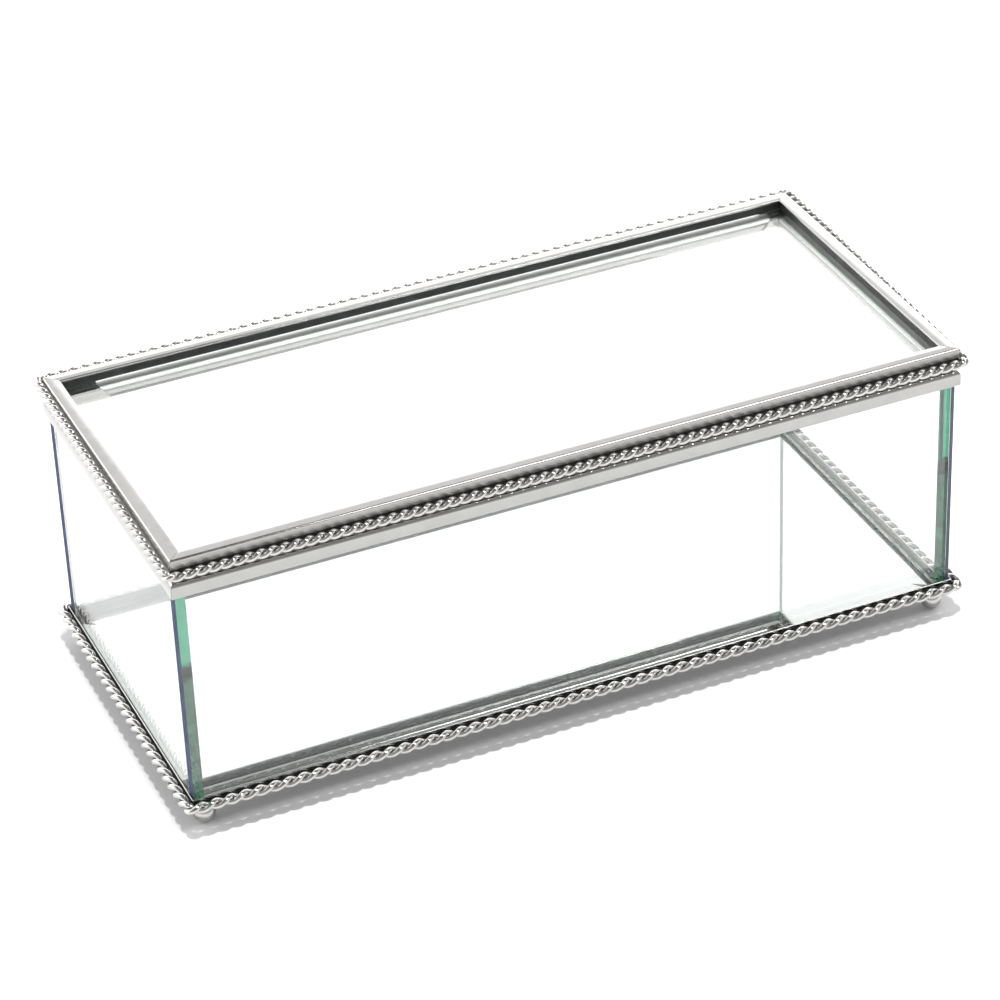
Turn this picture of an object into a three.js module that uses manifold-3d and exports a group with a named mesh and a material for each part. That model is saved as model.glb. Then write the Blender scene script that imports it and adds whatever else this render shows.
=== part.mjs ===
// Vanity trinket box: four clear glass walls on a mirror floor, and a hinged glass lid in a mitred
// metal frame, with a twisted rope trim round the lid and round the base, on four ball feet.
//
// Millimetres. X runs along the box, +Y towards the hinges at the rear, +Z up. The origin is on the
// table under the middle of the box.

import * as THREE from 'three';
import { mergeVertices } from 'three/addons/utils/BufferGeometryUtils.js';
import Module from 'manifold-3d';

const wasm = await Module();
wasm.setup();

// ---------------------------------------------------------------- driving dimensions

const SIGHT_X = 95.2; // half the clear length inside the lid frame
const SIGHT_Y = 40.5; // half the clear width inside the lid frame
const LID_TOP = 74.35; // height of the lid frame's top face

const LIP = 3.4; // width of the lid frame's top face
const LID_SHEET = 0.7; // thickness of the folded lid rails
const LID_GLASS_DROP = 2.75; // depth of the lid glass below the lid frame's top face
const LID_BEND = 0.5; // radius of the lid rails' outer bend
const SKIRT = 5.2; // height of the lid rails' outer face
const LID_GLASS = 2.4; // thickness of the lid glass
const LID_GAP = 0.65; // gap between the closed lid and the rim below it

const RIM_PROUD = 0.45; // the rim stands this far out from the lid frame
const RIM_TALL = 4.05; // height of the rim's outer face
const RIM_INNER_TALL = 3.0; // height of the rim's inner face
const RIM_SHEET = 0.6; // thickness of the folded rim rails
const RIM_BEND = 1.6; // radius of the rim's upper bends
const CEMENT = 0.4; // cement between the rim's outer flange and the walls

const WALL = 3.0; // thickness of the glass walls
const MIRROR = 1.6; // thickness of the mirror
const FIT = 0.1; // clearance between pieces that are pushed or cemented together
const SOLDER = 0.05; // solder between a rope and the rail that it lies against

const FOOT_R = 2.7; // radius of a ball foot
const FOOT_FLAT = 0.8; // radius of the flat that a foot stands on
const FOOT_IN = 3.65; // distance of a foot's centre inside the tray's outer faces

const TRAY_FLOOR = 5.0; // height of the tray's underside
const TRAY_SHEET = 0.4; // thickness of the tray's flange
const TRAY_FLANGE = 8.0; // width of the tray's flange
const TRAY_WALL = 0.3; // thickness of the tray's outer wall
const TRAY_SEAL = 0.35; // sealant between the tray's wall and the panes
const TRAY_BEND = 0.8; // radius of the bend between the tray's wall and flange
const TRAY_TOP = 9.15; // height of the tray's upper edge

const LID_ROPE_R = 1.25; // radius of the rope round the lid
const LID_ROPE_DROP = 3.4; // depth of its centre line, along the front, below the lid frame's top
const LID_ROPE_CLIMB = 2.1; // how much higher its centre line lies along the rear
const BASE_ROPE_R = 1.35; // radius of the rope round the tray
const BASE_ROPE_Z = 7.63; // height of that rope's centre line
const ROPE_CORNER = 0.15; // inside radius of both ropes' corners

const MITRE = 0.05; // each rail stops this far short of its mitre plane

// Both hinges sit at the corners, and the left one has the longer saddle. Distances are from the
// middle of the box, for the saddle's two ends, the foot of its inner plate and the barrel's middle.
const HINGES = {
  left: { way: -1, saddle: [86, 97], foot: 83.5, barrel: 91.5 },
  right: { way: 1, saddle: [92.5, 98.5], foot: 90, barrel: 95 },
};
const HINGE_SHEET = 0.35; // thickness of the hinge leaves
const LEAF_DEPTH = 3.2; // height of a box leaf's plates on the rim
const BARREL = 7.0; // length of a hinge's barrel
const KNUCKLE = 2.5; // length of the lid leaf's knuckle
const KNUCKLE_GAP = 0.25; // gap between knuckles
const NOTCH = 1.05; // the saddle is cut back this far over the rim to clear the lid's knuckle
const KNUCKLE_R = 0.9; // outside radius of a knuckle
const PIN_R = 0.45; // radius of a hinge pin
const PIN_FIT = 0.09; // radial clearance round a pin
const PIN_PROUD = 0.25; // a pin stands this far out of its knuckles
const PIN_CHAMFER = 0.12; // chamfer on the ends of a pin

const BEND_STEPS = 4; // straight steps in the bend of a rail
const CORNER_STEPS = 3; // straight steps in the corner of a rope
const ROUND_STEPS = 24; // straight steps round a foot, knuckle or pin
const BALL_STEPS = 10; // straight steps from the bottom to the top of a foot
const OVERCUT = 1.0; // a cutting body reaches this far past what it cuts
const SAME_POINT = 1e-5; // corners closer than this are one corner

// ---------------------------------------------------------------- worked out from them

const LID_X = SIGHT_X + LIP;
const LID_Y = SIGHT_Y + LIP;
const SKIRT_FOOT = LID_TOP - SKIRT;
const LID_GLASS_TOP = LID_TOP - LID_GLASS_DROP;

const RIM_X = LID_X + RIM_PROUD;
const RIM_Y = LID_Y + RIM_PROUD;
const RIM_TOP = SKIRT_FOOT - LID_GAP;
const RIM_WIDTH = 2 * RIM_SHEET + CEMENT + WALL + FIT;

const BOX_X = RIM_X - RIM_SHEET - CEMENT;
const BOX_Y = RIM_Y - RIM_SHEET - CEMENT;
const TRAY_X = BOX_X + TRAY_SEAL + TRAY_WALL;
const TRAY_Y = BOX_Y + TRAY_SEAL + TRAY_WALL;
const MIRROR_TOP = TRAY_FLOOR + TRAY_SHEET + MIRROR;
const WALL_TOP = RIM_TOP - RIM_SHEET - FIT;

const LID_ROPE_Z = LID_TOP - LID_ROPE_DROP;
const HINGE_Y = RIM_Y + FIT + KNUCKLE_R;
const HINGE_Z = RIM_TOP - FIT;
const BORE_R = PIN_R + PIN_FIT;

const SIDES = { front: [0, -1], rear: [0, 1], left: [-1, 0], right: [1, 0] };
const ENDS = { left: -1, right: 1 };

// ---------------------------------------------------------------- materials

function silver() {
  return new THREE.MeshStandardMaterial({ color: 0xc9c9cb, metalness: 1, roughness: 0.16 });
}

function ropeSilver() {
  return new THREE.MeshStandardMaterial({ color: 0xd4d4d6, metalness: 1, roughness: 0.22 });
}

function clearGlass() {
  const look = { color: 0xdff3ea, metalness: 0, roughness: 0.02, transparent: true, opacity: 0.35 };
  return new THREE.MeshStandardMaterial(look);
}

function mirrorGlass() {
  return new THREE.MeshStandardMaterial({ color: 0xe8eceb, metalness: 1, roughness: 0.03 });
}

// ---------------------------------------------------------------- shared shapes

function outline(points) {
  return new THREE.Shape(points.map(([u, v]) => new THREE.Vector2(u, v)));
}

// Points of a bend of the given radius about a centre, from one angle to another in degrees.
function bend(u, v, radius, from, to, steps = BEND_STEPS) {
  const points = [];
  for (let i = 0; i <= steps; i += 1) {
    const angle = THREE.MathUtils.degToRad(from + ((to - from) * i) / steps);
    points.push([u + radius * Math.cos(angle), v + radius * Math.sin(angle)]);
  }
  return points;
}

function extruded(shape, depth) {
  return new THREE.ExtrudeGeometry(shape, { depth, bevelEnabled: false, steps: 1 });
}

function solid(geometry) {
  const shell = geometry.clone();
  shell.deleteAttribute('normal');
  shell.deleteAttribute('uv');
  const merged = mergeVertices(shell, SAME_POINT);
  const vertProperties = new Float32Array(merged.attributes.position.array);
  const triVerts = new Uint32Array(merged.index.array);
  return new wasm.Manifold(new wasm.Mesh({ numProp: 3, vertProperties, triVerts }));
}

function surface(body) {
  const { vertProperties, triVerts } = body.getMesh();
  const geometry = new THREE.BufferGeometry();
  geometry.setAttribute('position', new THREE.BufferAttribute(vertProperties, 3));
  geometry.setIndex(new THREE.BufferAttribute(triVerts, 1));
  const flat = geometry.toNonIndexed();
  flat.computeVertexNormals();
  return flat;
}

function piece(name, geometry, material) {
  const mesh = new THREE.Mesh(geometry, material);
  mesh.name = name;
  return mesh;
}

function slab(x, y, z) {
  const geometry = new THREE.BoxGeometry(x[1] - x[0], y[1] - y[0], z[1] - z[0]);
  return geometry.translate((x[0] + x[1]) / 2, (y[0] + y[1]) / 2, (z[0] + z[1]) / 2);
}

// A round bar or bore along X.
function bar(radius, x0, x1, y, z) {
  const geometry = new THREE.CylinderGeometry(radius, radius, x1 - x0, ROUND_STEPS);
  return geometry.rotateZ(Math.PI / 2).translate((x0 + x1) / 2, y, z);
}

// A straight rail with mitred ends. The section is drawn with u measured outwards from the middle
// of the box and v upwards. The rail's half length grows with u by the same amount, so that its
// ends lie in the planes where the four rails of one frame meet. It is drawn two units long, so that
// one end is on each side of the middle.
function mitredRail([sideX, sideY], halfX, halfY, section) {
  const across = sideX === 0 ? halfY : halfX;
  const along = sideX === 0 ? halfX : halfY;
  const drawn = section.map(([inward, v]) => [across - inward, v]);
  const geometry = extruded(outline(drawn), 2);
  const position = geometry.attributes.position;
  for (let i = 0; i < position.count; i += 1) {
    const u = position.getX(i);
    const v = position.getY(i);
    const end = Math.sign(position.getZ(i) - 1);
    const run = end * (u - across + along - MITRE);
    if (sideX === 0) {
      position.setXYZ(i, -sideY * run, sideY * u, v);
    } else {
      position.setXYZ(i, sideX * u, sideX * run, v);
    }
  }
  return outwards(geometry);
}

// Turns every triangle over if the body's faces point inwards.
function outwards(geometry) {
  const position = geometry.attributes.position;
  const [a, b, c] = [new THREE.Vector3(), new THREE.Vector3(), new THREE.Vector3()];
  let volume = 0;
  for (let i = 0; i < position.count; i += 3) {
    a.fromBufferAttribute(position, i);
    b.fromBufferAttribute(position, i + 1);
    c.fromBufferAttribute(position, i + 2);
    volume += a.dot(b.cross(c));
  }
  if (volume < 0) {
    for (let i = 0; i < position.count; i += 3) {
      b.fromBufferAttribute(position, i + 1);
      c.fromBufferAttribute(position, i + 2);
      position.setXYZ(i + 1, c.x, c.y, c.z);
      position.setXYZ(i + 2, b.x, b.y, b.z);
    }
  }
  geometry.computeVertexNormals();
  return geometry;
}

function roundedRectangle(path, halfX, halfY, radius) {
  const x = halfX - radius;
  const y = halfY - radius;
  path.moveTo(halfX, -y);
  path.lineTo(halfX, y);
  path.absarc(x, y, radius, 0, Math.PI / 2, false);
  path.lineTo(-x, halfY);
  path.absarc(-x, y, radius, Math.PI / 2, Math.PI, false);
  path.lineTo(-halfX, -y);
  path.absarc(-x, -y, radius, Math.PI, 1.5 * Math.PI, false);
  path.lineTo(x, -halfY);
  path.absarc(x, -y, radius, 1.5 * Math.PI, 2 * Math.PI, false);
  return path;
}

// The rope's bulk: a closed ring with an eight-sided section round a frame of the given size.
// Its height is that of its centre line along the front, and it climbs evenly to the rear.
function ropeRing(halfX, halfY, radius, z, climb) {
  const flat = radius * Math.tan(Math.PI / 8);
  const slope = radius - flat;
  const middle = SOLDER + radius;
  const corner = ROPE_CORNER + radius;
  const x = halfX + middle;
  const y = halfY + middle;
  const shape = roundedRectangle(new THREE.Shape(), x + flat, y + flat, corner + flat);
  const hole = roundedRectangle(new THREE.Path(), x - flat, y - flat, corner - flat);
  shape.holes.push(hole);
  const geometry = new THREE.ExtrudeGeometry(shape, {
    depth: 2 * flat,
    steps: 1,
    curveSegments: CORNER_STEPS,
    bevelEnabled: true,
    bevelSegments: 1,
    bevelSize: slope,
    bevelThickness: slope,
  });
  const grade = climb / (2 * y);
  const lean = new THREE.Matrix4().makeShear(0, 0, 0, grade, 0, 0);
  return geometry.applyMatrix4(lean).translate(0, 0, z - flat + climb / 2);
}

// ---------------------------------------------------------------- lid

// Folded rail: an outer skirt, a rounded bend, a top face and an inner wall down to the glass.
function lidSection() {
  const inner = LIP - LID_SHEET;
  const insideBend = LID_BEND - LID_SHEET / 2;
  return [
    [0, SKIRT_FOOT],
    ...bend(LID_BEND, LID_TOP - LID_BEND, -LID_BEND, 0, -90),
    [LIP, LID_TOP],
    [LIP, LID_GLASS_TOP + FIT],
    [inner, LID_GLASS_TOP + FIT],
    [inner, LID_TOP - LID_SHEET],
    [LID_SHEET + insideBend, LID_TOP - LID_SHEET],
    [LID_SHEET, LID_TOP - LID_SHEET - insideBend],
    [LID_SHEET, SKIRT_FOOT],
  ];
}

function lidRails() {
  return Object.entries(SIDES).map(([side, way]) =>
    piece(`lid_rail_${side}`, mitredRail(way, LID_X, LID_Y, lidSection()), silver()));
}

function lidGlass() {
  const x = LID_X - LID_SHEET - FIT;
  const y = LID_Y - LID_SHEET - FIT;
  const z = [LID_GLASS_TOP - LID_GLASS, LID_GLASS_TOP];
  return piece('lid_glass', slab([-x, x], [-y, y], z), clearGlass());
}

// ---------------------------------------------------------------- box

// Inverted channel over the top edge of a wall, with both upper bends rounded.
function rimSection() {
  const innerFoot = RIM_TOP - RIM_INNER_TALL;
  const roof = RIM_TOP - RIM_SHEET;
  return [
    [0, RIM_TOP - RIM_TALL],
    ...bend(RIM_BEND, RIM_TOP - RIM_BEND, -RIM_BEND, 0, -90),
    ...bend(RIM_WIDTH - RIM_BEND, RIM_TOP - RIM_BEND, RIM_BEND, 90, 0),
    [RIM_WIDTH, innerFoot],
    [RIM_WIDTH - RIM_SHEET, innerFoot],
    [RIM_WIDTH - RIM_SHEET, roof],
    [RIM_SHEET, roof],
    [RIM_SHEET, RIM_TOP - RIM_TALL],
  ];
}

function rimRails() {
  return Object.entries(SIDES).map(([side, way]) =>
    piece(`rim_rail_${side}`, mitredRail(way, RIM_X, RIM_Y, rimSection()), silver()));
}

// The front and rear panes run the full length, and the side panes stand between them.
function walls() {
  const z = [MIRROR_TOP, WALL_TOP];
  const between = BOX_Y - WALL - FIT;
  return [
    piece('front_glass', slab([-BOX_X, BOX_X], [-BOX_Y, WALL - BOX_Y], z), clearGlass()),
    piece('rear_glass', slab([-BOX_X, BOX_X], [BOX_Y - WALL, BOX_Y], z), clearGlass()),
    piece('left_glass', slab([-BOX_X, WALL - BOX_X], [-between, between], z), clearGlass()),
    piece('right_glass', slab([BOX_X - WALL, BOX_X], [-between, between], z), clearGlass()),
  ];
}

function mirror() {
  const z = [MIRROR_TOP - MIRROR, MIRROR_TOP];
  return piece('mirror_base', slab([-BOX_X, BOX_X], [-BOX_Y, BOX_Y], z), mirrorGlass());
}

// Angle rail: a flange under the mirror and a wall round it, with a rounded bend between them.
function traySection() {
  return [
    ...bend(TRAY_BEND, TRAY_FLOOR + TRAY_BEND, -TRAY_BEND, 90, 0),
    [0, TRAY_TOP],
    [TRAY_WALL, TRAY_TOP],
    [TRAY_WALL, TRAY_FLOOR + TRAY_SHEET],
    [TRAY_FLANGE, TRAY_FLOOR + TRAY_SHEET],
    [TRAY_FLANGE, TRAY_FLOOR],
  ];
}

function trayRails() {
  return Object.entries(SIDES).map(([side, way]) =>
    piece(`tray_rail_${side}`, mitredRail(way, TRAY_X, TRAY_Y, traySection()), silver()));
}

// Ball with a small flat to stand on and another where it is soldered to the tray.
function footGeometry() {
  const centre = Math.sqrt(FOOT_R ** 2 - FOOT_FLAT ** 2);
  const start = Math.asin(FOOT_FLAT / FOOT_R);
  const stop = Math.acos((centre - TRAY_FLOOR) / FOOT_R);
  const profile = [new THREE.Vector2(0, 0), new THREE.Vector2(FOOT_FLAT, 0)];
  for (let i = 1; i <= BALL_STEPS; i += 1) {
    const angle = start + ((stop - start) * i) / BALL_STEPS;
    profile.push(new THREE.Vector2(FOOT_R * Math.sin(angle), centre - FOOT_R * Math.cos(angle)));
  }
  profile.push(new THREE.Vector2(0, TRAY_FLOOR));
  return new THREE.LatheGeometry(profile, ROUND_STEPS).rotateX(Math.PI / 2);
}

function feet() {
  const made = [];
  for (const [row, wayY] of [['front', -1], ['rear', 1]]) {
    for (const [end, wayX] of Object.entries(ENDS)) {
      const foot = piece(`foot_${row}_${end}`, footGeometry(), silver());
      foot.position.set(wayX * (TRAY_X - FOOT_IN), wayY * (TRAY_Y - FOOT_IN), 0);
      made.push(foot);
    }
  }
  return made;
}

// ---------------------------------------------------------------- hinges

// A span along X on the hinge's side of the box, from two distances from the middle.
function spanOf({ way }, near, far) {
  return way > 0 ? [near, far] : [-far, -near];
}

// Plate inside the rim, whose end towards the middle of the box slants out to the foot.
function innerPlate(hinge, y, top) {
  const corner = RIM_X - RIM_WIDTH - FIT;
  const base = top - LEAF_DEPTH;
  const points = [[hinge.saddle[0], top], [hinge.foot, base], [corner, base], [corner, top]];
  const drawn = outline(points.map(([x, z]) => [hinge.way * x, z]));
  return solid(extruded(drawn, HINGE_SHEET).rotateX(Math.PI / 2).translate(0, y + HINGE_SHEET, 0));
}

// Saddle over the rear rim with a plate inside and outside, and two knuckles behind it.
function boxLeaf(hinge) {
  const inside = RIM_Y - RIM_WIDTH - FIT - HINGE_SHEET;
  const outside = RIM_Y + SOLDER;
  const back = outside + HINGE_SHEET;
  const top = RIM_TOP + SOLDER + HINGE_SHEET;
  const slot = KNUCKLE / 2 + KNUCKLE_GAP;
  const barrel = spanOf(hinge, hinge.barrel - BARREL / 2, hinge.barrel + BARREL / 2);
  const near = Math.min(hinge.saddle[0], hinge.barrel - BARREL / 2);
  const roof = slab(spanOf(hinge, ...hinge.saddle), [inside, back], [top - HINGE_SHEET, top]);
  const outerPlate = slab(spanOf(hinge, near, hinge.saddle[1]), [outside, back], [top - LEAF_DEPTH, top]);
  const clearance = slab(
    spanOf(hinge, hinge.barrel - slot, hinge.barrel + slot),
    [RIM_Y - NOTCH, HINGE_Y + OVERCUT],
    [HINGE_Z - KNUCKLE_R - KNUCKLE_GAP, top + OVERCUT],
  );
  return solid(roof)
    .add(innerPlate(hinge, inside, top))
    .add(solid(outerPlate))
    .add(solid(bar(KNUCKLE_R, ...barrel, HINGE_Y, HINGE_Z)))
    .subtract(solid(clearance))
    .subtract(solid(bar(BORE_R, barrel[0] - OVERCUT, barrel[1] + OVERCUT, HINGE_Y, HINGE_Z)));
}

// Strip on the rear skirt of the lid, under the rope, with the middle knuckle below it.
function lidLeaf(hinge) {
  const y = [LID_Y + SOLDER, LID_Y + SOLDER + HINGE_SHEET];
  const ropeFoot = LID_ROPE_Z - LID_ROPE_R;
  const middle = spanOf(hinge, hinge.barrel - KNUCKLE / 2, hinge.barrel + KNUCKLE / 2);
  const run = spanOf(hinge, hinge.barrel - BARREL / 2, hinge.barrel + BARREL / 2);
  const strip = slab(run, y, [SKIRT_FOOT, ropeFoot - FIT]);
  const arm = slab(middle, [y[0], HINGE_Y - PIN_R], [HINGE_Z + PIN_R, SKIRT_FOOT + FIT]);
  const knuckle = bar(KNUCKLE_R, ...middle, HINGE_Y, HINGE_Z);
  const bore = bar(BORE_R, middle[0] - OVERCUT, middle[1] + OVERCUT, HINGE_Y, HINGE_Z);
  return solid(strip).add(solid(arm)).add(solid(knuckle)).subtract(solid(bore));
}

// Round pin with chamfered ends.
function pinGeometry() {
  const half = BARREL / 2 + PIN_PROUD;
  const profile = [
    [0, -half],
    [PIN_R - PIN_CHAMFER, -half],
    [PIN_R, PIN_CHAMFER - half],
    [PIN_R, half - PIN_CHAMFER],
    [PIN_R - PIN_CHAMFER, half],
    [0, half],
  ];
  const points = profile.map(([radius, x]) => new THREE.Vector2(radius, x));
  return new THREE.LatheGeometry(points, ROUND_STEPS).rotateZ(Math.PI / 2);
}

function leaves(name, make) {
  return Object.entries(HINGES).map(([end, hinge]) =>
    piece(`${name}_${end}`, surface(make(hinge)), silver()));
}

function pins() {
  return Object.entries(HINGES).map(([end, hinge]) => {
    const pin = piece(`hinge_pin_${end}`, pinGeometry(), silver());
    pin.position.set(hinge.way * hinge.barrel, HINGE_Y, HINGE_Z);
    return pin;
  });
}

// ---------------------------------------------------------------- assembly

const box = new THREE.Group();
box.add(...walls(), mirror(), ...trayRails(), ...feet(), ...rimRails());
box.add(piece('base_rope', ropeRing(TRAY_X, TRAY_Y, BASE_ROPE_R, BASE_ROPE_Z, 0), ropeSilver()));
box.add(...leaves('box_hinge_leaf', boxLeaf), ...pins());

const lid = new THREE.Group();
lid.add(lidGlass(), ...lidRails());
const lidRope = ropeRing(LID_X, LID_Y, LID_ROPE_R, LID_ROPE_Z, LID_ROPE_CLIMB);
lid.add(piece('lid_rope', lidRope, ropeSilver()));
lid.add(...leaves('lid_hinge_leaf', lidLeaf));

const trinketBox = new THREE.Group();
trinketBox.add(box, lid);

export default trinketBox;
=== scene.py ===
"""Looks of the vanity trinket box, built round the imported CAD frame.

Glass panes with arrissed edges on a silvered mirror, folded silver-plated rails with mitred
corners, ropes of two twisted wires, ball feet and two small hinges. Metres throughout. Every
piece takes its place and size from the box or the mesh of its CAD node.
"""

import math

import bmesh
import bpy
from mathutils import Matrix, Vector


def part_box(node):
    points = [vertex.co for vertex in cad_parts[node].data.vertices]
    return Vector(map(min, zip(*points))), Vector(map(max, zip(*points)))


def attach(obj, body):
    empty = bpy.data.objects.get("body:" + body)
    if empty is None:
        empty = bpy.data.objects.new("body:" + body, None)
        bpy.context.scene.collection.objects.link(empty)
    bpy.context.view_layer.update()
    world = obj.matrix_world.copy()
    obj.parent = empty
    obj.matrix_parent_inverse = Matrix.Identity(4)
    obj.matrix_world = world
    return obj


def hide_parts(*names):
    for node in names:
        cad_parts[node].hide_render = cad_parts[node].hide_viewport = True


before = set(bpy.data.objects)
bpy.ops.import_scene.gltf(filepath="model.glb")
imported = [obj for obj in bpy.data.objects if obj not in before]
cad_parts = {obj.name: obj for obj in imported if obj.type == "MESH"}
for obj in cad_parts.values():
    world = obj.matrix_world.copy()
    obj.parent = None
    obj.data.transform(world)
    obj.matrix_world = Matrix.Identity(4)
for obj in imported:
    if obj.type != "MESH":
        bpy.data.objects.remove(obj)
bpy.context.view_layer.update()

MM = 0.001
BOX = "box"
LID = "lid"
SIDES = {"front": (0, -1), "rear": (0, 1), "left": (-1, 0), "right": (1, 0)}
ENDS = ("left", "right")

# ------------------------------------------------------------------ colours

# How a noise lies: its features per metre are multiplied by this along X, Y and Z.
EVEN = (1.0, 1.0, 1.0)
DRAWN = (0.12, 0.12, 1.0)
BRUSHED = (0.1, 0.1, 1.0)
ROLLED = (0.35, 0.35, 1.0)
UPRIGHT = (1.0, 1.0, 0.3)
ACROSS_SIDE_PANE = (1.0, 0.45, 1.0)
ALONG_FRONT_PANE = (0.012, 1.0, 1.0)

# Silver plate: tint, roughness, lay of its fine marks, their depth, and the depth of its waves.
PLATES = {
    "silver_frame": ((0.44, 0.435, 0.425), 0.08, DRAWN, 0.0004 * MM, 0.0015 * MM),
    "silver_satin": ((0.42, 0.41, 0.40), 0.34, DRAWN, 0.0010 * MM, 0.0015 * MM),
    "silver_rope": ((0.58, 0.57, 0.555), 0.09, EVEN, 0.0006 * MM, 0.001 * MM),
    "silver_ball": ((0.52, 0.51, 0.50), 0.06, EVEN, 0.0002 * MM, 0.001 * MM),
    "silver_hinge": ((0.50, 0.49, 0.47), 0.14, EVEN, 0.0006 * MM, 0.002 * MM),
}
DARK_CLOUD = 0.93  # the darkest clouds on the plate, as a share of its tint
GLOSS_RANGE = (0.7, 1.4)  # lowest and highest roughness, as shares of the plate's

BODY_TINT = (0.50, 0.88, 0.74)  # colour of float glass seen through its length
BODY_DENSITY = 7.0  # per metre
GLASS_IOR = 1.52
UNBENT_TINT = (0.97, 0.99, 0.98)  # what a pane leaves of light that isn't traced through it
COLOURLESS = (1.0, 1.0, 1.0)
END_GREEN = (0.085, 0.33, 0.22)

# Painted light and shade on the cut edges of the panes, by height of the noise.
# Painted glints and shade for the side panes' bottom edges: bright swirls of caught light among
# dark teal.
PAINTED_GLINT_SWIRLS = [
    (0.36, (0.55, 0.70, 0.60)),
    (0.43, (0.03, 0.10, 0.16)),
    (0.50, (0.90, 0.95, 0.75)),
    (0.54, (0.02, 0.08, 0.12)),
    (0.60, (0.95, 0.98, 0.80)),
    (0.66, (0.05, 0.14, 0.16)),
]
# Painted dark reflections in fine lines along the feet of the front and rear panes.
PAINTED_REFLECTION_LINES = [
    (0.38, (0.010, 0.011, 0.010)),
    (0.50, (0.05, 0.055, 0.05)),
    (0.56, (0.014, 0.015, 0.014)),
    (0.66, (0.16, 0.17, 0.16)),
]
# Painted shade: the dark line that the ends of the front and rear panes show at the corners.
PAINTED_SHADE_BLUE_GREY = [(0.35, (0.07, 0.08, 0.13)), (0.65, (0.12, 0.13, 0.20))]

SILVER_COAT = [(0.3, (0.90, 0.92, 0.91)), (0.7, (0.93, 0.94, 0.93))]
GREY_PAINT = [(0.3, (0.66, 0.67, 0.67)), (0.7, (0.74, 0.75, 0.75))]
# Painted shade: near-black for the rails' recesses and gaps, and the walls behind the ropes.
BLACK_PAINTED_SHADE = [(0.3, (0.008, 0.008, 0.008)), (0.7, (0.016, 0.016, 0.015))]
PALE_SOLDER = [(0.3, (0.52, 0.52, 0.505)), (0.7, (0.62, 0.62, 0.605))]
TABLE_WHITE = [(0.3, 0.80), (0.7, 0.82)]
TABLE_GLOW = 0.10  # stands for the light that a white room throws into the shadow

# ------------------------------------------------------------------ node helpers


def node_adder(tree):
    """A function that adds nodes to a tree, with their inputs and settings."""

    def add(kind, inputs=None, **settings):
        node = tree.nodes.new(kind)
        for key, value in settings.items():
            setattr(node, key, value)
        for key, value in (inputs or {}).items():
            if isinstance(value, bpy.types.NodeSocket):
                tree.links.new(value, node.inputs[key])
            else:
                node.inputs[key].default_value = value
        return node

    return add


def new_material(name):
    """An empty node material, its tree and output, and the function that adds nodes to it."""
    material = bpy.data.materials.new(name)
    material.use_nodes = True
    tree = material.node_tree
    tree.nodes.clear()
    output = tree.nodes.new("ShaderNodeOutputMaterial")
    return material, tree, output, node_adder(tree)


def ramp(add, fac, stops):
    """A colour ramp with the given (place, grey or colour) stops."""
    node = add("ShaderNodeValToRGB", {"Fac": fac})
    elements = node.color_ramp.elements
    while len(elements) > 1:
        elements.remove(elements[-1])
    for i, (place, shade) in enumerate(stops):
        element = elements[0] if i == 0 else elements.new(place)
        element.position = place
        colour = shade if isinstance(shade, tuple) else (shade,) * 3
        element.color = (*colour, 1.0)
    return node


def object_noise(add, scale, detail, lay=EVEN, roughness=0.5, distortion=0.0):
    """Noise in the object's own coordinates, in features per metre."""
    place = add("ShaderNodeTexCoord")
    mapped = add("ShaderNodeMapping", {"Vector": place.outputs["Object"], "Scale": lay})
    inputs = {
        "Vector": mapped.outputs["Vector"],
        "Scale": scale,
        "Detail": detail,
        "Roughness": roughness,
        "Distortion": distortion,
    }
    return add("ShaderNodeTexNoise", inputs)


def relief(add, noise, depth, under=None):
    """A bump of the given depth, laid over another one if there is one."""
    inputs = {"Height": noise.outputs["Fac"], "Strength": 1.0, "Distance": depth}
    if under:
        inputs["Normal"] = under.outputs["Normal"]
    return add("ShaderNodeBump", inputs)


def opaque(name, shades, grain, inputs, depth=0.0):
    """An opaque material that takes its shades from a noise, with relief of the given depth."""
    material, tree, output, add = new_material(name)
    noise = object_noise(add, **grain)
    shade = ramp(add, noise.outputs["Fac"], shades)
    surface = {"Base Color": shade.outputs["Color"], **inputs}
    if depth:
        surface["Normal"] = relief(add, noise, depth).outputs["Normal"]
    shader = add("ShaderNodeBsdfPrincipled", surface)
    tree.links.new(shader.outputs["BSDF"], output.inputs["Surface"])
    return material


# ------------------------------------------------------------------ materials


def silver_plate(name):
    """Bright silver plate: soft cloudiness in its gloss, and fine marks drawn along its length."""
    tint, roughness, lay, mark_depth, wave_depth = PLATES[name]
    material, tree, output, add = new_material(name)
    cloud = object_noise(add, 260.0, 4.0)
    marks = object_noise(add, 900.0, 5.0, lay, 0.65)
    waves = object_noise(add, 70.0, 1.0, ROLLED)
    dark = tuple(DARK_CLOUD * c for c in tint)
    shade = ramp(add, cloud.outputs["Fac"], [(0.3, dark), (0.7, tint)])
    gloss_inputs = {
        "Value": cloud.outputs["Fac"],
        "To Min": roughness * GLOSS_RANGE[0],
        "To Max": roughness * GLOSS_RANGE[1],
    }
    gloss = add("ShaderNodeMapRange", gloss_inputs)
    fine = relief(add, marks, mark_depth)
    broad = relief(add, waves, wave_depth, fine)
    surface = {
        "Base Color": shade.outputs["Color"],
        "Metallic": 1.0,
        "Roughness": gloss.outputs["Result"],
        "Normal": broad.outputs["Normal"],
    }
    shader = add("ShaderNodeBsdfPrincipled", surface)
    tree.links.new(shader.outputs["BSDF"], output.inputs["Surface"])
    return material


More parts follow.
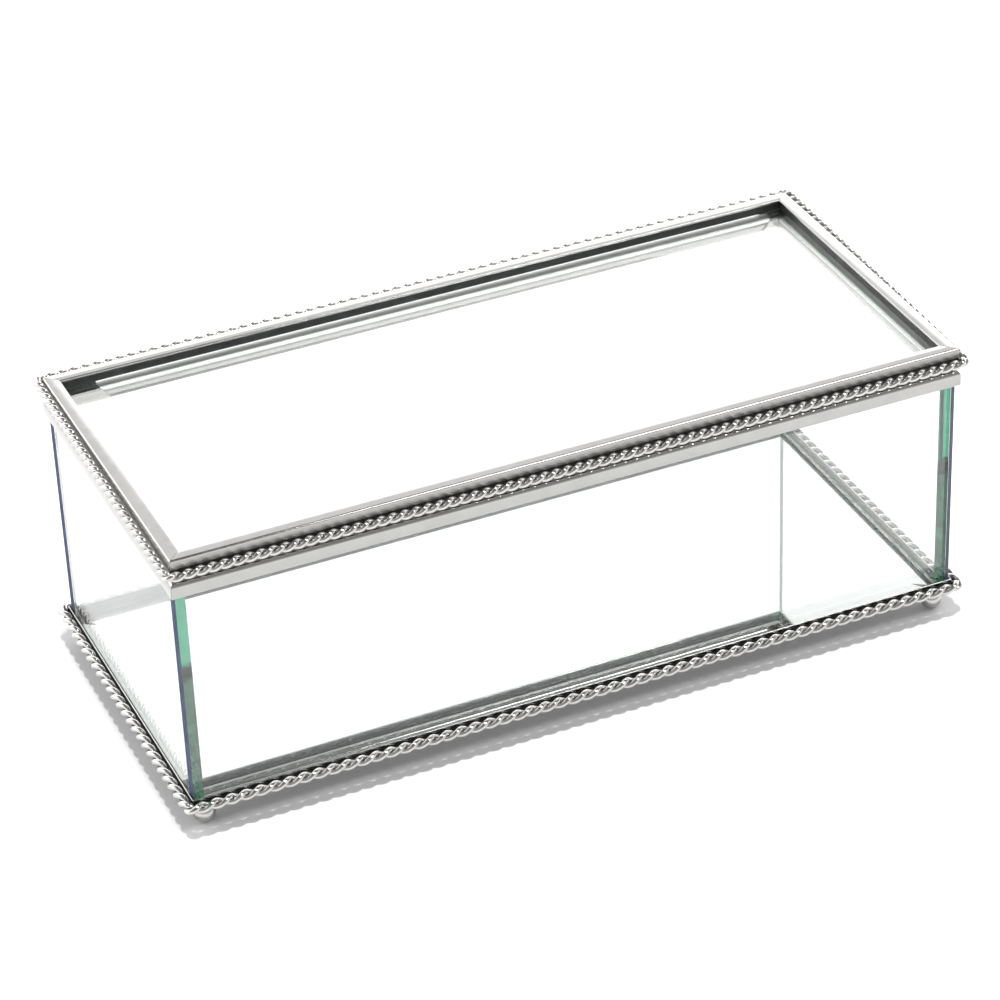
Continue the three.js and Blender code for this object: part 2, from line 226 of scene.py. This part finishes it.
def clear_glass(name, tint, grain, grain_depth):
    """Float glass with a green body tint. It lets lamps and scattered light through unbent.

    A cut edge is tinted where light passes it, because light reaches it along the whole pane.
    """
    material, tree, output, add = new_material(name)
    bump = relief(add, object_noise(add, grain, 4.0), grain_depth)
    surface = {
        "Base Color": (*tint, 1.0),
        "Roughness": 0.0,
        "IOR": GLASS_IOR,
        "Transmission Weight": 1.0,
        "Normal": bump.outputs["Normal"],
    }
    glass = add("ShaderNodeBsdfPrincipled", surface)
    clear = add("ShaderNodeBsdfTransparent", {"Color": (*UNBENT_TINT, 1.0)})
    path = add("ShaderNodeLightPath")
    rays = {0: path.outputs["Is Shadow Ray"], 1: path.outputs["Is Diffuse Ray"]}
    unbent = add("ShaderNodeMath", rays, operation="MAXIMUM")
    mix = add("ShaderNodeMixShader", {"Fac": unbent.outputs["Value"]})
    tree.links.new(glass.outputs["BSDF"], mix.inputs[1])
    tree.links.new(clear.outputs["BSDF"], mix.inputs[2])
    tree.links.new(mix.outputs["Shader"], output.inputs["Surface"])
    body = add("ShaderNodeVolumeAbsorption", {"Color": (*BODY_TINT, 1.0), "Density": BODY_DENSITY})
    tree.links.new(body.outputs["Volume"], output.inputs["Volume"])
    return material


def cut_edge(name, scale, lay, shades):
    """A matt cut edge of a pane, coloured with painted light and shade in streaks from a noise."""
    grain = {"scale": scale, "detail": 4.0, "lay": lay, "roughness": 0.6, "distortion": 1.2}
    surface = {"Roughness": 0.8, "Specular IOR Level": 0.0}
    return opaque(name, shades, grain, surface, 0.2 * MM)


def silvering():
    """The mirror's reflecting coat, with the faintest unevenness."""
    grain = {"scale": 60.0, "detail": 3.0}
    return opaque("mirror_silvering", SILVER_COAT, grain, {"Metallic": 1.0, "Roughness": 0.0})


def backing_paint():
    """Pale grey protective paint on the back of the mirror."""
    grain = {"scale": 700.0, "detail": 5.0}
    return opaque("mirror_backing", GREY_PAINT, grain, {"Roughness": 0.55}, 0.02 * MM)


def paint_black_shade():
    """Near-black painted shade for the frame's recesses and gaps, a little uneven."""
    grain = {"scale": 500.0, "detail": 4.0}
    return opaque("black_painted_shade", BLACK_PAINTED_SHADE, grain, {"Roughness": 0.5}, 0.03 * MM)


def solder():
    """Dull pale solder on the faces that the lid covers."""
    grain = {"scale": 300.0, "detail": 4.0, "lay": BRUSHED}
    surface = {"Metallic": 0.35, "Roughness": 0.35}
    return opaque("pale_solder", PALE_SOLDER, grain, surface, 0.01 * MM)


def table_paint():
    """Matt white paint, with a faint glow of its own that keeps shadows pale."""
    surface = {
        "Roughness": 0.9,
        "Specular IOR Level": 0.0,
        "Emission Color": (1.0, 1.0, 1.0, 1.0),
        "Emission Strength": TABLE_GLOW,
    }
    return opaque("table_white", TABLE_WHITE, {"scale": 40.0, "detail": 4.0}, surface)


# ------------------------------------------------------------------ mesh helpers


def add_piece(name, bm, materials, body, replaced, angle=None):
    """Turns a bmesh into a piece that rides on a body and stands for CAD nodes.

    Edges blunter than the angle, in degrees, are shaded smooth. Without one, faces stay flat.
    """
    bmesh.ops.recalc_face_normals(bm, faces=bm.faces)
    mesh = bpy.data.meshes.new(name)
    bm.to_mesh(mesh)
    bm.free()
    for material in materials:
        mesh.materials.append(material)
    if angle is None:
        mesh.shade_flat()
    else:
        mesh.shade_smooth()
        mesh.set_sharp_from_angle(angle=math.radians(angle))
    piece = bpy.data.objects.new(name, mesh)
    bpy.context.scene.collection.objects.link(piece)
    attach(piece, body)
    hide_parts(*replaced)
    return piece


def arc(centre, radius, start, stop, steps):
    """Points on an arc, angles in degrees."""
    points = []
    for i in range(steps + 1):
        angle = math.radians(start + (stop - start) * i / steps)
        points.append((centre[0] + radius * math.cos(angle), centre[1] + radius * math.sin(angle)))
    return points


def loft(bm, rings, closed):
    """Quads between rings of vertices. Closed lofts join the last ring to the first."""
    count = len(rings[0])
    pairs = list(zip(rings, rings[1:]))
    if closed:
        pairs.append((rings[-1], rings[0]))
    for a, b in pairs:
        for i in range(count):
            j = (i + 1) % count
            bm.faces.new((a[i], a[j], b[j], b[i]))


def arrissed_slab(low, high, arris):
    """A rectangular pane whose edges are ground off by a small arris."""
    bm = bmesh.new()
    bmesh.ops.create_cube(bm, size=1.0)
    size = high - low
    centre = (low + high) / 2
    for v in bm.verts:
        v.co = Vector(centre[i] + v.co[i] * size[i] for i in range(3))
    bmesh.ops.bevel(bm, geom=list(bm.edges), offset=arris, segments=2, profile=0.6, affect="EDGES")
    bm.normal_update()
    return bm


# ------------------------------------------------------------------ panes and mirror

ARRIS = 0.12 * MM
SQUARE = 0.9  # a face is one of a slab's own six if its normal is at least this much along an axis
COAT_THICKNESS = 0.10 * MM  # silvering and paint together
COAT_GAP = 0.005 * MM
MIRROR_INSET = 0.02 * MM  # keeps the mirror's face off the panes that stand on it


def make_pane(node, body, faces_glass, end_glass, bottom_glass):
    """A pane: polished broad faces, ground ends, and a rougher cut along its bottom."""
    low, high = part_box(node)
    size = high - low
    thin = min(range(3), key=lambda i: size[i])
    bm = arrissed_slab(low, high, ARRIS)
    for face in bm.faces:
        if abs(face.normal[thin]) > SQUARE:
            face.material_index = 0
        elif face.normal.z < -SQUARE:
            face.material_index = 2
        else:
            face.material_index = 1
    glasses = [faces_glass, end_glass, bottom_glass]
    add_piece(node.replace("_glass", "_pane"), bm, glasses, body, [node])


def make_mirror(faces_glass, edge_glass, coat, paint):
    """The mirror: clear glass over a silver coat, with grey paint behind."""
    low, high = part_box("mirror_base")
    coat_top = low.z + COAT_THICKNESS
    bm = arrissed_slab(
        Vector((low.x, low.y, coat_top + COAT_GAP)),
        Vector((high.x, high.y, high.z - MIRROR_INSET)),
        ARRIS,
    )
    for face in bm.faces:
        face.material_index = 0 if abs(face.normal.z) > SQUARE else 1
    glasses = [faces_glass, edge_glass]
    add_piece("mirror_pane", bm, glasses, BOX, ["mirror_base"])
    bm = arrissed_slab(
        Vector((low.x + ARRIS, low.y + ARRIS, low.z)),
        Vector((high.x - ARRIS, high.y - ARRIS, coat_top)),
        COAT_THICKNESS / 8,
    )
    for face in bm.faces:
        face.material_index = 0 if face.normal.z > SQUARE else 1
    add_piece("mirror_coat", bm, [coat, paint], BOX, ["mirror_base"])


# ------------------------------------------------------------------ rails

# The third coat is near-black painted shade.
BRIGHT, SATIN, BLACK, DULL = range(4)  # the coats of a rail
MITRE_GAP = 0.05 * MM
BEND_STEPS = 10
EDGE_STEPS = 4
RAIL_SMOOTH = 30  # degrees

LID_SHEET = 0.7 * MM
LID_BEND = 0.5 * MM
LID_EDGE = 0.25 * MM  # rounding of the sheet's edges
LID_RECESS = 0.12 * MM  # how far the inner wall lies behind the lip's edge
LID_SHADE_DROP = 0.3 * MM  # the black starts this far below the top of the rope
WALL_CLEARANCE = 0.1 * MM  # between the inner wall and the glass

RIM_SHEET = 0.6 * MM
RIM_BEND = 1.6 * MM
RIM_EDGE = 0.2 * MM
RIM_WALL = 3.0 * MM  # depth of the rim's inner wall

TRAY_SHEET = 0.4 * MM
TRAY_WALL = 0.3 * MM
TRAY_BEND = 0.8 * MM
TRAY_BRIGHT = 0.75 * MM  # depth of the polished band along the tray's upper edge
CHANNEL_SHADE_DROP = 0.3 * MM  # the painted black shade in the channel lies this far below the tray's upper edge
CHANNEL_SHADE_INSET = 0.02 * MM

CREASE = 0.1 * MM  # size of the small cuts on inside and hidden corners


def make_rail(kind, side, section, body, coats):
    """A mitred rail, whose section is a list of runs going round it.

    A run is the index of its coat and its points, as (inward from the outer face, height).
    """
    node = f"{kind}_rail_{side}"
    way = SIDES[side]
    outer_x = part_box(f"{kind}_rail_right")[1].x
    outer_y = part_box(f"{kind}_rail_rear")[1].y
    along_half = outer_x if way[0] == 0 else outer_y
    across_half = outer_y if way[0] == 0 else outer_x
    points = [point for _, run in section for point in run]
    indices = [index for index, run in section for _ in run]
    bm = bmesh.new()
    rings = []
    for end in (-1, 1):
        ring = []
        for inward, height in points:
            along = end * (along_half - inward - MITRE_GAP)
            across = across_half - inward
            if way[0] == 0:
                ring.append(bm.verts.new((along, way[1] * across, height)))
            else:
                ring.append(bm.verts.new((way[0] * across, along, height)))
        rings.append(ring)
    loft(bm, rings, False)
    for face, index in zip(bm.faces, indices):
        face.material_index = index
    for ring in rings:
        bm.faces.new(ring)
    bmesh.ops.triangulate(bm, faces=[f for f in bm.faces if len(f.verts) > 4])
    name = f"{kind}_frame_{side}"
    add_piece(name, bm, coats, body, [node], RAIL_SMOOTH)


def lid_section(side):
    """Lid rail: skirt, rounded outer bend, top face, and a black inner wall down to the glass.

    The front skirt is painted black behind the rope as shade, and so are the inner wall and the
    skirt's bottom edge.
    """
    low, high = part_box("lid_rail_front")
    top = high.z
    foot = low.z
    width = high.y - low.y
    edge = LID_EDGE
    ceiling = top - LID_SHEET
    inside = 0.2 * MM
    shade = foot + edge + CREASE
    if side == "front":
        rope_low, rope_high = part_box("lid_rope")
        rope_girth = rope_high.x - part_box("lid_rail_right")[1].x
        shade = rope_low.z + rope_girth - LID_SHADE_DROP
    wall_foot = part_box("lid_glass")[1].z + WALL_CLEARANCE
    polished = [
        *arc((LID_BEND, top - LID_BEND), LID_BEND, 180, 90, BEND_STEPS),
        *arc((width - edge, top - edge), edge, 90, 0, EDGE_STEPS),
        *arc((width - edge, ceiling + edge), edge, 0, -60, EDGE_STEPS),
    ]
    hidden = [
        (width - LID_SHEET, wall_foot),
        (width - LID_SHEET, ceiling),
        *arc((LID_SHEET + inside, ceiling - inside), inside, 90, 180, EDGE_STEPS),
        (LID_SHEET, foot + CREASE),
        (LID_SHEET - CREASE, foot),
    ]
    return [
        (BLACK, arc((edge, foot + edge), edge, 270, 180, EDGE_STEPS)),
        (SATIN, [(0.0, shade)]),
        (BRIGHT, polished),
        (BLACK, [(width - LID_RECESS, ceiling), (width - LID_RECESS, wall_foot)]),
        (DULL, hidden),
    ]


def rim_section():
    """Rim rail: a channel over the panes' top edges, with dull solder on its top face."""
    low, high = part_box("rim_rail_front")
    top = high.z
    foot = low.z
    width = high.y - low.y
    edge = RIM_EDGE
    inner_foot = top - RIM_WALL
    ceiling = top - RIM_SHEET
    outer_bend = (RIM_BEND, top - RIM_BEND)
    inner_bend = (width - RIM_BEND, top - RIM_BEND)
    outside = [
        *arc((edge, foot + edge), edge, 270, 180, EDGE_STEPS),
        *arc(outer_bend, RIM_BEND, 180, 110, BEND_STEPS),
    ]
    over = [
        *arc(outer_bend, RIM_BEND, 100, 90, 1),
        *arc(inner_bend, RIM_BEND, 90, 40, BEND_STEPS),
    ]
    under = [
        *arc(inner_bend, RIM_BEND, 30, 0, 3),
        *arc((width - edge, inner_foot + edge), edge, 0, -90, EDGE_STEPS),
        (width - RIM_SHEET + CREASE, inner_foot),
        (width - RIM_SHEET, inner_foot + CREASE),
        (width - RIM_SHEET, ceiling - CREASE),
        (width - RIM_SHEET - CREASE, ceiling),
        (RIM_SHEET + CREASE, ceiling),
        (RIM_SHEET, ceiling - CREASE),
        (RIM_SHEET, foot + CREASE),
        (RIM_SHEET - CREASE, foot),
    ]
    return [(BRIGHT, outside), (DULL, over), (BRIGHT, under)]


def tray_section():
    """Tray rail: an angle under the mirror. Its lower bend, its outer wall behind the rope and the
    channel between its wall and the panes are painted black as shade.
    """
    low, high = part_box("tray_rail_front")
    top = high.z
    foot = low.z
    flange = high.y - low.y
    lip = TRAY_WALL / 2
    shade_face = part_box("front_glass")[0].y - low.y - CHANNEL_SHADE_INSET
    shade_top = top - CHANNEL_SHADE_DROP
    floor = foot + TRAY_SHEET
    upper_edge = [(0.0, top - TRAY_BRIGHT), *arc((lip, top - lip), lip, 180, 0, 2 * EDGE_STEPS)]
    under_mirror = [
        (flange - CREASE, floor),
        (flange, floor - CREASE),
        (flange, foot + CREASE),
        (flange - CREASE, foot),
    ]
    return [
        (BLACK, arc((TRAY_BEND, foot + TRAY_BEND), TRAY_BEND, 270, 180, BEND_STEPS)),
        (BRIGHT, upper_edge),
        (BLACK, [(TRAY_WALL, shade_top), (shade_face, shade_top), (shade_face, floor)]),
        (BRIGHT, under_mirror),
    ]


# ------------------------------------------------------------------ ropes

STRANDS = 2
STRAND_SHARE = 0.5  # radius of each of two touching wires, as a share of the rope's
STRAND_SIDES = 16
ROPE_STEP = 0.33 * MM
ROPE_CORNER = 1.1  # radius of the centre line's corners, as a share of the rope's radius
SOLDER = 0.05 * MM  # between a rope and the rail that it lies against
BASE_LAY = 7.15 * MM  # length of a full twist
LID_LAY = 5.72 * MM
ROPE_SMOOTH = 80  # degrees


def rope_path(half_x, half_y, radius, count):
    """Evenly spaced points and outward normals of a rounded rectangle, and its length."""
    flats = [2 * (half_y - radius), 2 * (half_x - radius)] * 2
    bend = radius * math.pi / 2
    total = sum(flats) + 4 * bend
    corners = [
        (half_x - radius, half_y - radius),
        (radius - half_x, half_y - radius),
        (radius - half_x, radius - half_y),
        (half_x - radius, radius - half_y),
    ]
    points = []
    normals = []
    for i in range(count):
        left = total * i / count
        for side in range(4):
            facing = side * math.pi / 2
            if left < flats[side]:
                start = corners[side - 1]
                out = Vector((math.cos(facing), math.sin(facing), 0))
                run = Vector((-math.sin(facing), math.cos(facing), 0))
                base = Vector((start[0], start[1], 0))
                points.append(base + out * radius + run * left)
                normals.append(out)
                break
            left -= flats[side]
            if left < bend:
                angle = facing + left / radius
                out = Vector((math.cos(angle), math.sin(angle), 0))
                points.append(Vector((*corners[side], 0)) + out * radius)
                normals.append(out)
                break
            left -= bend
    return points, normals, total


def make_rope(node, rail, body, full_twist, metal):
    """Two wires twisted together round the frame, closed on themselves.

    The rope lies against its rail, and its height may climb evenly from the front to the rear.
    """
    low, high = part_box(node)
    radius = (high.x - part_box(rail)[1].x - SOLDER) / 2
    height = (high.z + low.z) / 2
    climb = high.z - low.z - 2 * radius
    half_x = high.x - radius
    half_y = high.y - radius
    grade = climb / (2 * half_y)
    wire = STRAND_SHARE * radius
    offset_length = radius - wire
    count = int(4 * (half_x + half_y) / ROPE_STEP)
    points, normals, total = rope_path(half_x, half_y, radius * ROPE_CORNER, count)
    turns = round(total / full_twist)
    bm = bmesh.new()
    for strand in range(STRANDS):
        centres = []
        for i, (point, out) in enumerate(zip(points, normals)):
            angle = 2 * math.pi * (turns * i / count + strand / STRANDS)
            offset = out * math.cos(angle) + Vector((0, 0, 1)) * math.sin(angle)
            lift = Vector((0, 0, height + grade * point.y))
            centres.append((point + offset * offset_length + lift, offset))
        rings = []
        for i, (centre, offset) in enumerate(centres):
            ahead = centres[(i + 1) % count][0] - centres[i - 1][0]
            ahead.normalize()
            sideways = ahead.cross(offset).normalized()
            outwards = sideways.cross(ahead)
            ring = []
            for k in range(STRAND_SIDES):
                turn = 2 * math.pi * k / STRAND_SIDES
                spot = centre + (outwards * math.cos(turn) + sideways * math.sin(turn)) * wire
                ring.append(bm.verts.new(spot))
            rings.append(ring)
        loft(bm, rings, True)
    name = node.replace("_rope", "_twisted_rope")
    add_piece(name, bm, [metal], body, [node], ROPE_SMOOTH)


# ------------------------------------------------------------------ feet

FOOT_FLAT = 0.8 * MM  # radius of the flat that a foot stands on
FOOT_ROWS = 28
FOOT_SIDES = 56
FOOT_SMOOTH = 40  # degrees


def make_foot(node, metal):
    """A turned ball foot, flat where it stands and where it is soldered on."""
    low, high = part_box(node)
    radius = (high.x - low.x) / 2
    centre = Vector(((low.x + high.x) / 2, (low.y + high.y) / 2, 0))
    middle = math.sqrt(radius**2 - FOOT_FLAT**2)
    start = math.asin(FOOT_FLAT / radius)
    stop = math.acos((middle - high.z) / radius)
    bm = bmesh.new()
    rings = []
    for i in range(FOOT_ROWS + 1):
        angle = start + (stop - start) * i / FOOT_ROWS
        across = radius * math.sin(angle)
        height = middle - radius * math.cos(angle)
        ring = []
        for k in range(FOOT_SIDES):
            turn = 2 * math.pi * k / FOOT_SIDES
            spot = centre + Vector((across * math.cos(turn), across * math.sin(turn), height))
            ring.append(bm.verts.new(spot))
        rings.append(ring)
    loft(bm, rings, False)
    bm.faces.new(rings[0])
    bm.faces.new(rings[-1])
    name = node.replace("foot", "ball_foot")
    add_piece(name, bm, [metal], BOX, [node], FOOT_SMOOTH)


# ------------------------------------------------------------------ hinges

HINGE_ROUNDING = 0.05 * MM
HINGE_EDGE = 50  # edges sharper than this many degrees are rounded
HINGE_SMOOTH = 30  # degrees
WELD = 1e-7  # vertices closer than this are one


def make_hinge_part(node, body, metal):
    """A hinge piece with its stamped edges rounded over."""
    bm = bmesh.new()
    bm.from_mesh(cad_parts[node].data)
    bmesh.ops.remove_doubles(bm, verts=bm.verts, dist=WELD)
    flat = math.radians(1)
    bmesh.ops.dissolve_limit(bm, angle_limit=flat, verts=bm.verts, edges=bm.edges)
    name = f"{node}_rounded"
    piece = add_piece(name, bm, [metal], body, [node], HINGE_SMOOTH)
    bevel = piece.modifiers.new("edges", "BEVEL")
    bevel.width = HINGE_ROUNDING
    bevel.segments = 2
    bevel.limit_method = "ANGLE"
    bevel.angle_limit = math.radians(HINGE_EDGE)


# ------------------------------------------------------------------ stage

TABLE_HALF = 6.0

# The studio's brightness by elevation in degrees, behind the box and in front of it.
REAR_SHADES = [
    (-90, 0.90),
    (30.3, 0.90),
    (30.9, 0.43),
    (34, 0.46),
    (46, 0.45),
    (60, 0.07),
    (90, 0.04),
]
FRONT_SHADES = [(-90, 0.25), (12, 0.25), (22, 0.135), (55, 0.12), (72, 0.04), (90, 0.04)]
STUDIO_STRENGTH = 3.0
MIX_A, MIX_B, MIX_RESULT = 6, 7, 2  # the sockets for colours on a mix node
STUDIO_BLEND = 0.12  # half width of the blend from front to rear, in the direction's Y

# Softboxes: where each stands as seen from the box, its strength and its width in degrees.
KEY_LIGHT = ((0.0, -0.03, 1.0), 2.4, 3.5)
SIDE_LIGHT = ((0.50, -0.62, 1.0), 0.8, 14.0)

CAMERA_TURN = (-22.876, 32.794, -2.372)  # azimuth, elevation and roll in degrees
CAMERA_PLACE = (-0.30105, -0.71027, 0.53309)
CAMERA_LENS = 137.34
CAMERA_SENSOR = 36.0
CAMERA_NEAR = 0.01

BOUNCES = 32
GLASS_BOUNCES = 24


def make_table():
    """A plain white table, large enough for every view."""
    bm = bmesh.new()
    bmesh.ops.create_grid(bm, x_segments=8, y_segments=8, size=TABLE_HALF)
    mesh = bpy.data.meshes.new("table")
    bm.to_mesh(mesh)
    bm.free()
    mesh.materials.append(table_paint())
    table = bpy.data.objects.new("table", mesh)
    bpy.context.scene.collection.objects.link(table)


def by_elevation(shades):
    """Ramp stops for the sine of the elevation, brought into the range from 0 to 1."""
    return [((math.sin(math.radians(angle)) + 1) / 2, shade) for angle, shade in shades]


def make_studio():
    """A white sweep behind the box, a dimmer wall above it, and a dark front with the camera."""
    world = bpy.data.worlds.new("studio")
    bpy.context.scene.world = world
    world.use_nodes = True
    tree = world.node_tree
    tree.nodes.clear()
    add = node_adder(tree)
    place = add("ShaderNodeTexCoord")
    parts = add("ShaderNodeSeparateXYZ", {"Vector": place.outputs["Generated"]})
    rise_inputs = {"Value": parts.outputs["Z"], "From Min": -1.0, "From Max": 1.0}
    rise = add("ShaderNodeMapRange", rise_inputs)
    rear = ramp(add, rise.outputs["Result"], by_elevation(REAR_SHADES))
    front = ramp(add, rise.outputs["Result"], by_elevation(FRONT_SHADES))
    depth_inputs = {
        "Value": parts.outputs["Y"],
        "From Min": -STUDIO_BLEND,
        "From Max": STUDIO_BLEND,
    }
    depth = add("ShaderNodeMapRange", depth_inputs)
    mix = add("ShaderNodeMix", {"Factor": depth.outputs["Result"]}, data_type="RGBA")
    tree.links.new(front.outputs["Color"], mix.inputs[MIX_A])
    tree.links.new(rear.outputs["Color"], mix.inputs[MIX_B])
    shine_inputs = {"Color": mix.outputs[MIX_RESULT], "Strength": STUDIO_STRENGTH}
    shine = add("ShaderNodeBackground", shine_inputs)
    output = add("ShaderNodeOutputWorld")
    tree.links.new(shine.outputs["Background"], output.inputs["Surface"])


def make_light(name, towards, strength, width):
    """A distant softbox that shines on the box from the given direction."""
    lamp = bpy.data.lights.new(name, "SUN")
    lamp.energy = strength
    lamp.angle = math.radians(width)
    light = bpy.data.objects.new(name, lamp)
    light.rotation_mode = "QUATERNION"
    light.rotation_quaternion = Vector(towards).to_track_quat("Z", "Y")
    bpy.context.scene.collection.objects.link(light)


def make_camera():
    """The viewing angle: from the front left and above, with a long lens and a slight roll."""
    camera = bpy.data.cameras.new("camera")
    camera.sensor_width = CAMERA_SENSOR
    camera.lens = CAMERA_LENS
    camera.clip_start = CAMERA_NEAR
    eye = bpy.data.objects.new("camera", camera)
    azimuth, elevation, roll = (math.radians(angle) for angle in CAMERA_TURN)
    back = Vector(
        (
            math.sin(azimuth) * math.cos(elevation),
            -math.cos(azimuth) * math.cos(elevation),
            math.sin(elevation),
        )
    )
    right = (-back).cross(Vector((0, 0, 1))).normalized()
    up = right.cross(-back)
    turned_right = right * math.cos(roll) + up * math.sin(roll)
    turned_up = up * math.cos(roll) - right * math.sin(roll)
    axes = Matrix((turned_right, turned_up, back)).transposed()
    eye.matrix_world = Matrix.Translation(CAMERA_PLACE) @ axes.to_4x4()
    bpy.context.scene.collection.objects.link(eye)
    bpy.context.scene.camera = eye


def set_light_paths():
    """Enough bounces for light to run the length of a pane, and plain colours."""
    scene = bpy.context.scene
    scene.cycles.max_bounces = BOUNCES
    scene.cycles.glossy_bounces = GLASS_BOUNCES
    scene.cycles.transmission_bounces = GLASS_BOUNCES
    scene.cycles.transparent_max_bounces = GLASS_BOUNCES
    scene.cycles.caustics_refractive = False
    scene.cycles.caustics_reflective = False
    scene.view_settings.view_transform = "Standard"


# ------------------------------------------------------------------ assembly


def make_glass():
    """The four walls, the lid's pane and the mirror."""
    broad = clear_glass("glass_clear", COLOURLESS, 30.0, 0.0)
    ground = clear_glass("glass_ground_end", END_GREEN, 420.0, 0.006 * MM)
    # The dark ends and the cut bottoms below are painted light and shade, not the glass's own
    # colour.
    painted_shade_end = cut_edge("glass_dark_end", 700.0, UPRIGHT, PAINTED_SHADE_BLUE_GREY)
    painted_glints = cut_edge("glass_cut_swirled", 230.0, ACROSS_SIDE_PANE, PAINTED_GLINT_SWIRLS)
    painted_reflections = cut_edge("glass_cut_lined", 2200.0, ALONG_FRONT_PANE, PAINTED_REFLECTION_LINES)
    for side in ENDS:
        make_pane(f"{side}_glass", BOX, broad, ground, painted_glints)
    for side in ("front", "rear"):
        make_pane(f"{side}_glass", BOX, broad, painted_shade_end, painted_reflections)
    make_pane("lid_glass", LID, broad, broad, broad)
    make_mirror(broad, ground, silvering(), backing_paint())


def make_metalwork():
    """The rails, the ropes, the feet and the hinges."""
    plates = {name: silver_plate(name) for name in PLATES}
    # The third coat is near-black painted shade for recesses, gaps and the walls behind the ropes.
    coats = [plates["silver_frame"], plates["silver_satin"], paint_black_shade(), solder()]
    for side in SIDES:
        make_rail("tray", side, tray_section(), BOX, coats)
        make_rail("rim", side, rim_section(), BOX, coats)
        make_rail("lid", side, lid_section(side), LID, coats)
    rope = plates["silver_rope"]
    make_rope("base_rope", "tray_rail_right", BOX, BASE_LAY, rope)
    make_rope("lid_rope", "lid_rail_right", LID, LID_LAY, rope)
    for row in ("front", "rear"):
        for end in ENDS:
            make_foot(f"foot_{row}_{end}", plates["silver_ball"])
    for end in ENDS:
        make_hinge_part(f"box_hinge_leaf_{end}", BOX, plates["silver_hinge"])
        make_hinge_part(f"lid_hinge_leaf_{end}", LID, plates["silver_hinge"])
        make_hinge_part(f"hinge_pin_{end}", BOX, plates["silver_hinge"])


make_camera()
make_table()
make_studio()
make_light("key", *KEY_LIGHT)
make_light("side", *SIDE_LIGHT)
set_light_paths()
make_glass()
make_metalwork()
